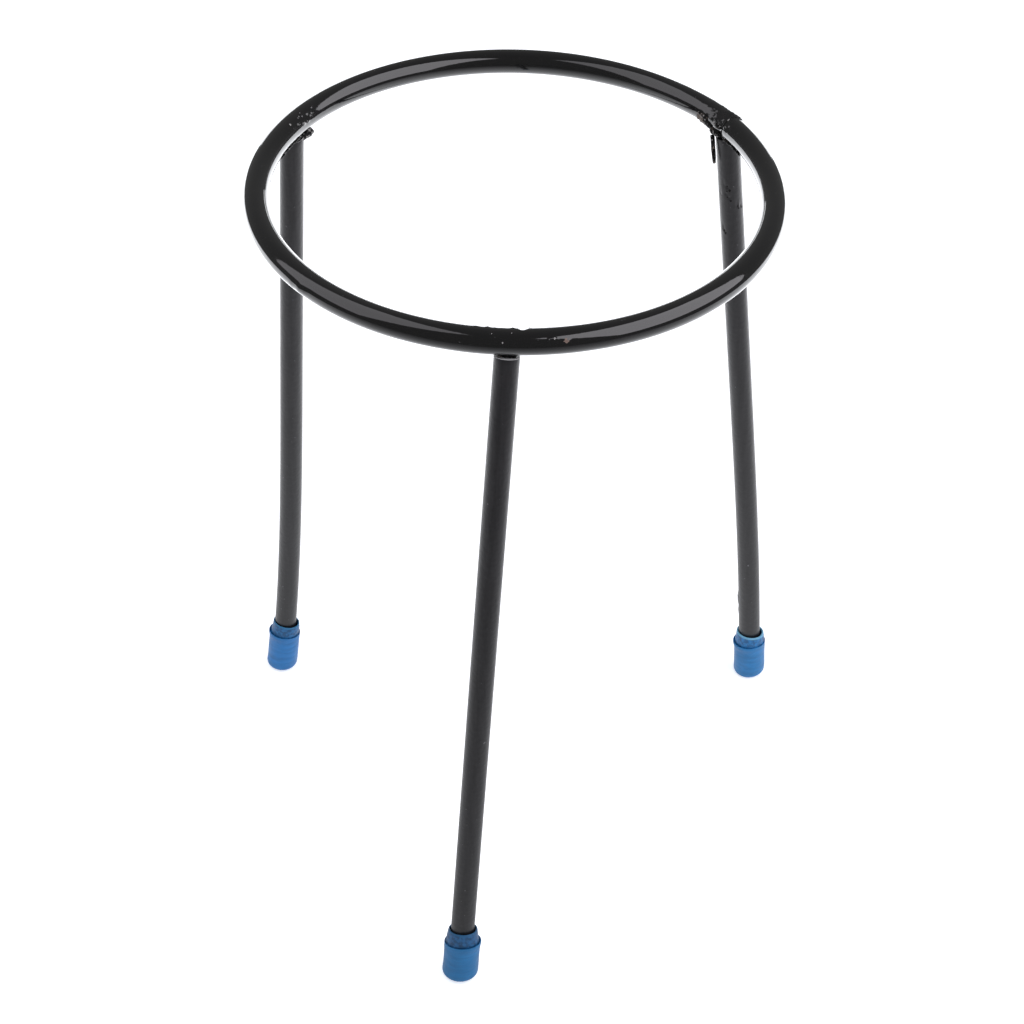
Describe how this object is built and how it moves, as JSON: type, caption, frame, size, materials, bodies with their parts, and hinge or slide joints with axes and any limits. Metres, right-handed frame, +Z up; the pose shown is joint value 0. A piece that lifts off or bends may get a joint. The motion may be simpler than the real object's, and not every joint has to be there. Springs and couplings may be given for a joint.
{
  "type": "lab tripod stand",
  "caption": "Small laboratory tripod stand: a welded round-rod ring on splayed rod legs with soft blue foot caps, to hold a gauze or dish over a burner.",
  "frame": {"origin": "on the surface that the stand rests on, at the middle of the stand's outline seen from above", "axes": "+Z up; -Y towards the single front leg; +X to the right seen from the front, towards the leg under the ring's seam"},
  "size_m": [0.1147, 0.1184, 0.1524],
  "materials": {
    "ring_enamel": "thick glossy black enamel",
    "leg_paint": "satin black paint",
    "weld": "rough black paint over weld metal",
    "foot_cap": "satin soft blue plastic"
  },
  "bodies": {
    "root": {"ring": "ring_enamel", "ring_seam_weld": "weld", "leg_front": "leg_paint", "leg_rear_left": "leg_paint", "leg_rear_right": "leg_paint", "weld_front": "weld", "weld_rear_left": "weld", "weld_rear_right": "weld", "foot_cap_front": "foot_cap", "foot_cap_rear_left": "foot_cap", "foot_cap_rear_right": "foot_cap"}
  },
  "joints": []
}
